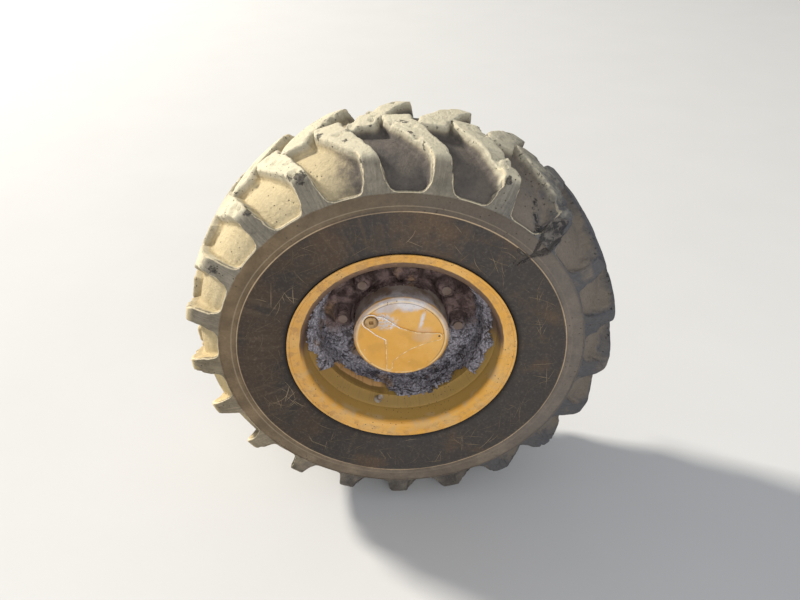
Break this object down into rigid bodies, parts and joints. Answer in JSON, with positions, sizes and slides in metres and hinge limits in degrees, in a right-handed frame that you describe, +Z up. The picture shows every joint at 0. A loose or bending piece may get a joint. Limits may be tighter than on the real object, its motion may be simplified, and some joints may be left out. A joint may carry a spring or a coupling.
{
  "type": "steered loader wheel with hub and knuckle",
  "caption": "Front wheel of a backhoe loader: lugged tyre on a dished rim, turning on its hub and a steering knuckle with two king pin ears.",
  "frame": {"origin": "where the steering axis through the two king pin bores crosses the wheel's axis", "axes": "+Z up along the steering axis, +Y inboard along the wheel's axis, so that the wheel's outer face looks along -Y, +X to the rear"},
  "size_m": [0.974, 0.4552, 0.9732],
  "materials": {
    "tyre": "worn dusty rubber",
    "wheel_paint": "worn yellow paint with mud",
    "fasteners": "rusty and muddy",
    "hub_casting": "painted casting under mud",
    "knuckle_casting": "painted casting under mud",
    "machined_steel": "machined",
    "seal_rubber": "moulded"
  },
  "bodies": {
    "knuckle": {"knuckle": "knuckle_casting", "king_pin_ears": "knuckle_casting", "spindle": "machined_steel", "spindle_bolts": "fasteners", "hub_seal": "seal_rubber", "shaft_seal": "seal_rubber", "stop_bolt": "fasteners"},
    "wheel": {"tyre": "tyre", "rim": "wheel_paint", "wheel_disc": "wheel_paint", "wheel_studs": "fasteners", "wheel_nuts": "fasteners", "hub": "hub_casting", "hub_cover": "wheel_paint", "oil_plug": "fasteners", "valve_stem": "fasteners"}
  },
  "joints": [
    {"name": "wheel_spin", "type": "hinge", "parent": "knuckle", "child": "wheel", "pos_m": [0, -0.2, 0], "axis": [0, 1, 0], "continuous": true}
  ]
}
